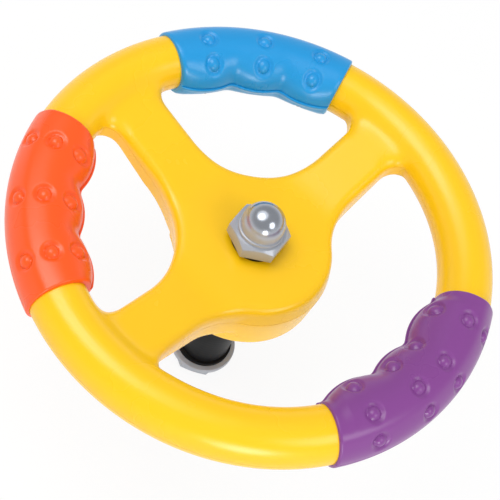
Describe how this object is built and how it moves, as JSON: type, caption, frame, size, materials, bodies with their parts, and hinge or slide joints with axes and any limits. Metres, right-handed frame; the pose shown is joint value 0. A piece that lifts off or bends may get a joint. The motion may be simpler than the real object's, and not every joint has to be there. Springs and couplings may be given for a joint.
{
  "type": "play hand wheel",
  "caption": "Dished round hand wheel for a play stand, with spokes, coloured finger grips, a cap nut and a bolted sleeve that it turns on.",
  "frame": {"origin": "on the axle, on the rear end face of the spacer tube, where the front of the mounting board seats", "axes": "+Z along the axle from the board towards the cap nut, +Y towards the purple grip at twelve o'clock, the single spoke along -Y"},
  "size_m": [0.2146, 0.216, 0.1398],
  "materials": {
    "yellow_plastic": "glossy moulded plastic",
    "purple_plastic": "satin moulded plastic",
    "blue_plastic": "satin moulded plastic",
    "orange_plastic": "satin moulded plastic",
    "polished_nut": "bright plated steel",
    "zinc_steel": "zinc-plated steel",
    "black_nylon": "turned black nylon"
  },
  "bodies": {
    "axle": {"axle_bolt": "zinc_steel", "rear_washer": "zinc_steel", "spacer_tube": "black_nylon", "axle_sleeve": "black_nylon", "thrust_washer": "black_nylon", "cap_nut": "polished_nut"},
    "wheel": {"wheel_front_shell": "yellow_plastic", "wheel_rear_shell": "yellow_plastic", "hub_screws": "zinc_steel", "spoke_screws": "zinc_steel", "purple_grip_front": "purple_plastic", "purple_grip_rear": "purple_plastic", "purple_grip_screws": "zinc_steel", "blue_grip_front": "blue_plastic", "blue_grip_rear": "blue_plastic", "blue_grip_screws": "zinc_steel", "orange_grip_front": "orange_plastic", "orange_grip_rear": "orange_plastic", "orange_grip_screws": "zinc_steel"}
  },
  "joints": [
    {"name": "wheel_spin", "type": "hinge", "parent": "axle", "child": "wheel", "pos_m": [0, 0, 0.09], "axis": [0, 0, 1], "continuous": true}
  ]
}
